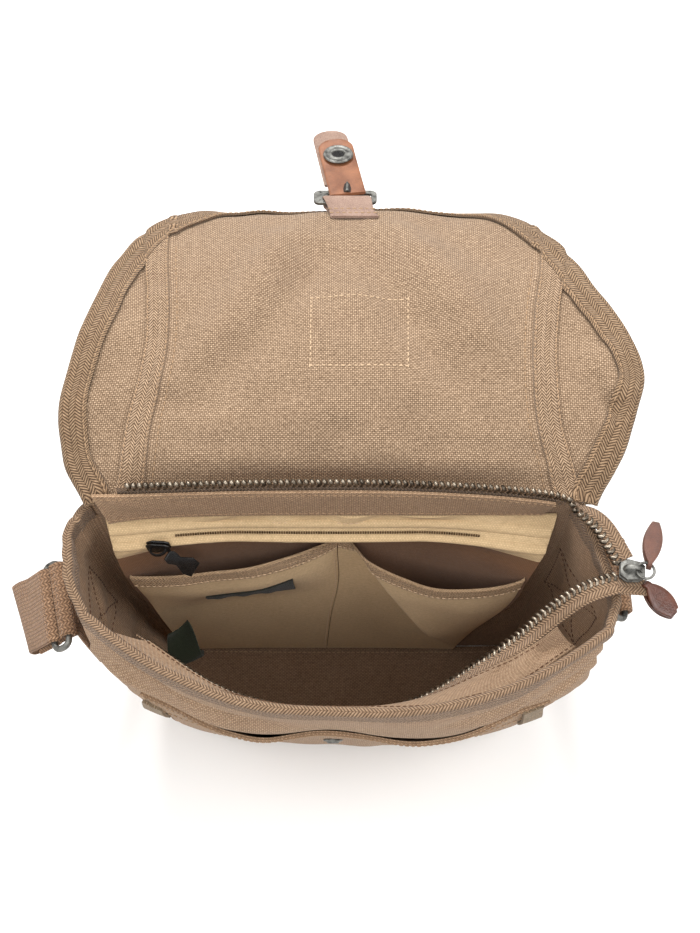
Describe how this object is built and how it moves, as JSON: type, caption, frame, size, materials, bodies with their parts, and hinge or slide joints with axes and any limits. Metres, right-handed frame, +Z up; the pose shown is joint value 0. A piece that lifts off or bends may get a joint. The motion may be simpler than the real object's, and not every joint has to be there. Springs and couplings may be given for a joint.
{
  "type": "canvas shoulder bag",
  "caption": "Canvas shoulder bag standing open, flap thrown back, with bound edges, open zip, inside slip pockets, buckled leather closing strap and webbing strap on rings",
  "frame": {"origin": "middle of the bottom, on the surface the bag stands on", "axes": "x to the right seen from the front, y to the back where the flap hangs, z up"},
  "size_m": [0.3701, 0.3656, 0.2598],
  "materials": {
    "canvas": "washed khaki canvas",
    "flap_canvas": "washed khaki canvas, inner face",
    "lining": "plain woven beige lining",
    "tape": "herringbone cotton tape",
    "webbing": "coarse cotton webbing",
    "leather": "tan leather, grain side",
    "flesh": "tan leather, flesh side",
    "dark_leather": "reddish brown leather",
    "metal": "antique nickel",
    "zip_metal": "antique dark brass",
    "black_metal": "gloss black",
    "label": "plain black woven label",
    "tag": "plain dark green woven tag"
  },
  "bodies": {
    "root": {"gusset_left": "canvas", "front_panel": "canvas", "gusset_right": "canvas", "back_panel": "canvas", "bottom_panel": "canvas", "rim_binding": "tape", "flap_panel": "flap_canvas", "flap_ear_left": "flap_canvas", "flap_seam_tape_left": "tape", "flap_ear_right": "flap_canvas", "flap_seam_tape_right": "tape", "flap_edge_binding": "tape", "flap_patch": "flap_canvas", "lining_back": "lining", "slip_pocket_left": "lining", "slip_tape_left": "tape", "slip_pocket_right": "lining", "slip_tape_right": "tape", "inside_label": "label", "side_tag": "tag", "pocket_zip_teeth": "zip_metal", "pocket_zip_slider": "black_metal", "pocket_zip_pull": "black_metal", "zip_tape_back": "tape", "zip_teeth_back": "zip_metal", "zip_tape_front": "tape", "zip_teeth_front": "zip_metal", "back_placket": "canvas", "front_placket": "canvas", "zip_slider": "metal", "zip_pull_ring": "metal", "zip_pull_leather": "dark_leather", "zip_end_tab": "dark_leather", "front_pocket": "canvas", "pocket_corner_left": "webbing", "pocket_corner_right": "webbing", "snap_socket": "metal", "buckle_tab": "flesh", "buckle_frame": "metal", "closure_strap": "leather", "closure_backing": "flesh", "buckle_prong": "metal", "snap_button": "metal", "side_tab_left": "webbing", "ring_left": "metal", "side_tab_right": "webbing", "ring_right": "metal", "shoulder_strap": "webbing"}
  },
  "joints": []
}
